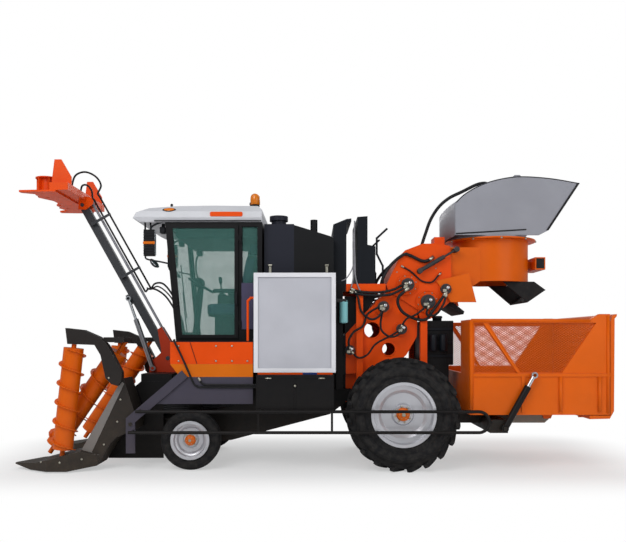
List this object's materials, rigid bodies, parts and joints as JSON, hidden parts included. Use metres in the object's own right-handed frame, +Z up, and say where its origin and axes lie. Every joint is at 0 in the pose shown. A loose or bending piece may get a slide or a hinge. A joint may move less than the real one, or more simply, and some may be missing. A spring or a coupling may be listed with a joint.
{
  "type": "sugarcane harvester",
  "caption": "Self-propelled sugarcane harvester: crop scrolls and topper in front, cab, chopper, extractor hood and rear tipping basket, on wheels.",
  "frame": {"origin": "ground point under the middle of the machine", "axes": "+X towards the rear, +Y to the machine's right, +Z up"},
  "size_m": [7.646, 2.3898, 4.03],
  "materials": {
    "black_paint": "satin black paint",
    "orange_paint": "gloss orange paint",
    "basket_paint": "gloss amber orange paint",
    "grey_paint": "satin grey paint",
    "pale_paint": "pale grey paint",
    "rim_paint": "silver paint",
    "skirt_paint": "dark violet-grey paint",
    "divider_paint": "dark worn paint",
    "tower_paint": "red-orange paint",
    "flap_rubber": "black rubber sheet",
    "tyre_rubber": "matt tyre rubber",
    "window_glass": "green tinted glass",
    "cab_plastic": "dark moulded plastic and vinyl",
    "bare_steel": "worn steel",
    "rod_chrome": "hard chrome",
    "engine_iron": "painted cast iron"
  },
  "bodies": {
    "chassis": {"chassis_frame": "black_paint", "rear_axle": "black_paint", "guard_rails": "black_paint", "throat": "black_paint", "feed_housing": "orange_paint", "chopper_box": "orange_paint", "hydraulic_motors": "black_paint", "extractor_chamber": "orange_paint", "deflector_flaps": "flap_rubber", "side_boxes": "black_paint", "engine_bay": "black_paint", "engine_screens": "pale_paint", "engine_block": "engine_iron", "engine_hood": "black_paint", "cooler_towers": "black_paint", "cab_shell": "black_paint", "cab_roof": "pale_paint", "cab_glass": "window_glass", "cab_interior": "cab_plastic", "cab_fittings": "black_paint", "side_panels": "orange_paint", "side_skirts": "skirt_paint", "topper_tower": "tower_paint", "rear_subframe": "grey_paint"},
    "steer_left": {"knuckle_left": "black_paint"},
    "steer_right": {"knuckle_right": "black_paint"},
    "front_wheel_left": {"front_tyre_left": "tyre_rubber", "front_rim_left": "rim_paint"},
    "front_wheel_right": {"front_tyre_right": "tyre_rubber", "front_rim_right": "rim_paint"},
    "rear_wheel_left": {"rear_tyre_left": "tyre_rubber", "rear_rim_left": "rim_paint"},
    "rear_wheel_right": {"rear_tyre_right": "tyre_rubber", "rear_rim_right": "rim_paint"},
    "door": {"cab_door": "black_paint", "cab_door_glass": "window_glass"},
    "topper_arm": {"topper_arm": "black_paint"},
    "topper_link": {"topper_link": "grey_paint"},
    "topper_head": {"topper_head": "orange_paint"},
    "topper_drum_left": {"topper_drum_left": "orange_paint"},
    "topper_drum_right": {"topper_drum_right": "orange_paint"},
    "topper_barrel": {"topper_barrel": "bare_steel"},
    "topper_rod": {"topper_rod": "rod_chrome"},
    "divider_left": {"divider_left": "divider_paint"},
    "divider_right": {"divider_right": "divider_paint"},
    "outer_scroll_left": {"outer_scroll_left": "orange_paint"},
    "outer_scroll_right": {"outer_scroll_right": "orange_paint"},
    "inner_scroll_left": {"inner_scroll_left": "orange_paint"},
    "inner_scroll_right": {"inner_scroll_right": "orange_paint"},
    "knockdown_roller": {"knockdown_roller": "orange_paint"},
    "base_cutter_left": {"base_cutter_left": "bare_steel"},
    "base_cutter_right": {"base_cutter_right": "bare_steel"},
    "basket": {"basket": "basket_paint", "basket_mesh": "basket_paint"},
    "tailgate": {"tailgate": "basket_paint"},
    "tip_barrels": {"tip_barrels": "black_paint"},
    "tip_rods": {"tip_rods": "rod_chrome"},
    "extractor_hood": {"extractor_hood": "grey_paint"},
    "extractor_fan": {"extractor_fan": "bare_steel"}
  },
  "joints": [
    {"name": "steer_left_pivot", "type": "hinge", "parent": "chassis", "child": "steer_left", "pos_m": [-1.561, -0.73, 0.38], "axis": [0, 0, 1], "range_deg": [-25, 25]},
    {"name": "steer_right_pivot", "type": "hinge", "parent": "chassis", "child": "steer_right", "pos_m": [-1.561, 0.73, 0.38], "axis": [0, 0, 1], "range_deg": [-25, 25]},
    {"name": "front_wheel_left_roll", "type": "hinge", "parent": "steer_left", "child": "front_wheel_left", "pos_m": [-1.561, -0.87, 0.38], "axis": [0, 1, 0], "continuous": true},
    {"name": "front_wheel_right_roll", "type": "hinge", "parent": "steer_right", "child": "front_wheel_right", "pos_m": [-1.561, 0.87, 0.38], "axis": [0, 1, 0], "continuous": true},
    {"name": "rear_wheel_left_roll", "type": "hinge", "parent": "chassis", "child": "rear_wheel_left", "pos_m": [1.137, -0.945, 0.715], "axis": [0, 1, 0], "continuous": true},
    {"name": "rear_wheel_right_roll", "type": "hinge", "parent": "chassis", "child": "rear_wheel_right", "pos_m": [1.137, 0.945, 0.715], "axis": [0, 1, 0], "continuous": true},
    {"name": "door_hinge", "type": "hinge", "parent": "chassis", "child": "door", "pos_m": [-0.935, -0.816, 2.4], "axis": [0, 0, 1], "range_deg": [0, 80]},
    {"name": "topper_lift", "type": "hinge", "parent": "chassis", "child": "topper_arm", "pos_m": [-2.032, 0, 1.398], "axis": [0, 1, 0], "range_deg": [-35, 5]},
    {"name": "topper_link_pivot", "type": "hinge", "parent": "chassis", "child": "topper_link", "pos_m": [-1.922, 0, 1.458], "axis": [0, 1, 0], "range_deg": [-36, 6]},
    {"name": "topper_head_pivot", "type": "hinge", "parent": "topper_arm", "child": "topper_head", "pos_m": [-3.231, 0, 3.543], "axis": [0, 1, 0], "range_deg": [-6, 36]},
    {"name": "topper_drum_left_spin", "type": "hinge", "parent": "topper_head", "child": "topper_drum_left", "pos_m": [-3.6, -0.38, 3.7], "axis": [0, 0, 1], "continuous": true},
    {"name": "topper_drum_right_spin", "type": "hinge", "parent": "topper_head", "child": "topper_drum_right", "pos_m": [-3.6, 0.38, 3.7], "axis": [0, 0, 1], "continuous": true},
    {"name": "topper_barrel_pivot", "type": "hinge", "parent": "chassis", "child": "topper_barrel", "pos_m": [-2.229, -0.125, 1.26], "axis": [0, 1, 0], "range_deg": [-37, 7]},
    {"name": "topper_rod_slide", "type": "slide", "parent": "topper_barrel", "child": "topper_rod", "axis": [-0.3299, 0, 0.944], "range_m": [-0.2, 0.04]},
    {"name": "divider_left_lift", "type": "hinge", "parent": "chassis", "child": "divider_left", "pos_m": [-2.302, -0.75, 0.592], "axis": [0, 1, 0], "range_deg": [0, 12]},
    {"name": "outer_scroll_left_spin", "type": "hinge", "parent": "divider_left", "child": "outer_scroll_left", "pos_m": [-3.162, -1.02, 0.238], "axis": [0.1088, 0, 0.9941], "continuous": true},
    {"name": "inner_scroll_left_spin", "type": "hinge", "parent": "divider_left", "child": "inner_scroll_left", "pos_m": [-3.497, -0.69, 0.107], "axis": [0.5647, 0, 0.8253], "continuous": true},
    {"name": "divider_right_lift", "type": "hinge", "parent": "chassis", "child": "divider_right", "pos_m": [-2.302, 0.75, 0.592], "axis": [0, 1, 0], "range_deg": [0, 12]},
    {"name": "outer_scroll_right_spin", "type": "hinge", "parent": "divider_right", "child": "outer_scroll_right", "pos_m": [-3.162, 1.02, 0.238], "axis": [0.1088, 0, 0.9941], "continuous": true},
    {"name": "inner_scroll_right_spin", "type": "hinge", "parent": "divider_right", "child": "inner_scroll_right", "pos_m": [-3.497, 0.69, 0.107], "axis": [0.5647, 0, 0.8253], "continuous": true},
    {"name": "knockdown_roller_spin", "type": "hinge", "parent": "chassis", "child": "knockdown_roller", "pos_m": [-2.63, 0, 0.68], "axis": [0, 1, 0], "continuous": true},
    {"name": "base_cutter_left_spin", "type": "hinge", "parent": "chassis", "child": "base_cutter_left", "pos_m": [-2.25, -0.235, 0.1], "axis": [0, 0, 1], "continuous": true},
    {"name": "base_cutter_right_spin", "type": "hinge", "parent": "chassis", "child": "base_cutter_right", "pos_m": [-2.25, 0.235, 0.1], "axis": [0, 0, 1], "continuous": true},
    {"name": "basket_tip", "type": "hinge", "parent": "chassis", "child": "basket", "pos_m": [3.117, 0, 0.649], "axis": [0, 1, 0], "range_deg": [0, 55]},
    {"name": "tailgate_hinge", "type": "hinge", "parent": "basket", "child": "tailgate", "pos_m": [3.495, 0, 0.674], "axis": [0, 1, 0], "range_deg": [0, 30]},
    {"name": "tip_barrels_pivot", "type": "hinge", "parent": "chassis", "child": "tip_barrels", "pos_m": [2.395, 0, 0.549], "axis": [0, 1, 0], "range_deg": [-1, 27]},
    {"name": "tip_rods_slide", "type": "slide", "parent": "tip_barrels", "child": "tip_rods", "axis": [0.4856, 0, 0.8742], "range_m": [-0.01, 0.47]},
    {"name": "hood_swivel", "type": "hinge", "parent": "chassis", "child": "extractor_hood", "pos_m": [2.492, 0, 3.03], "axis": [0, 0, 1], "range_deg": [-90, 90]},
    {"name": "extractor_fan_spin", "type": "hinge", "parent": "chassis", "child": "extractor_fan", "pos_m": [2.492, 0, 3.003], "axis": [0, 0, 1], "continuous": true}
  ],
  "couplings": [
    {"joint": "steer_right_pivot", "follows": "steer_left_pivot", "ratio": 1},
    {"joint": "topper_link_pivot", "follows": "topper_lift", "ratio": 1},
    {"joint": "topper_head_pivot", "follows": "topper_lift", "ratio": -1},
    {"joint": "topper_barrel_pivot", "follows": "topper_lift", "ratio": 1.0082},
    {"joint": "topper_rod_slide", "follows": "topper_lift", "m_per_rad": 0.23668},
    {"joint": "tip_barrels_pivot", "follows": "basket_tip", "ratio": 0.45476},
    {"joint": "tip_rods_slide", "follows": "basket_tip", "m_per_rad": 0.47198},
    {"joint": "base_cutter_right_spin", "follows": "base_cutter_left_spin", "ratio": -1}
  ]
}
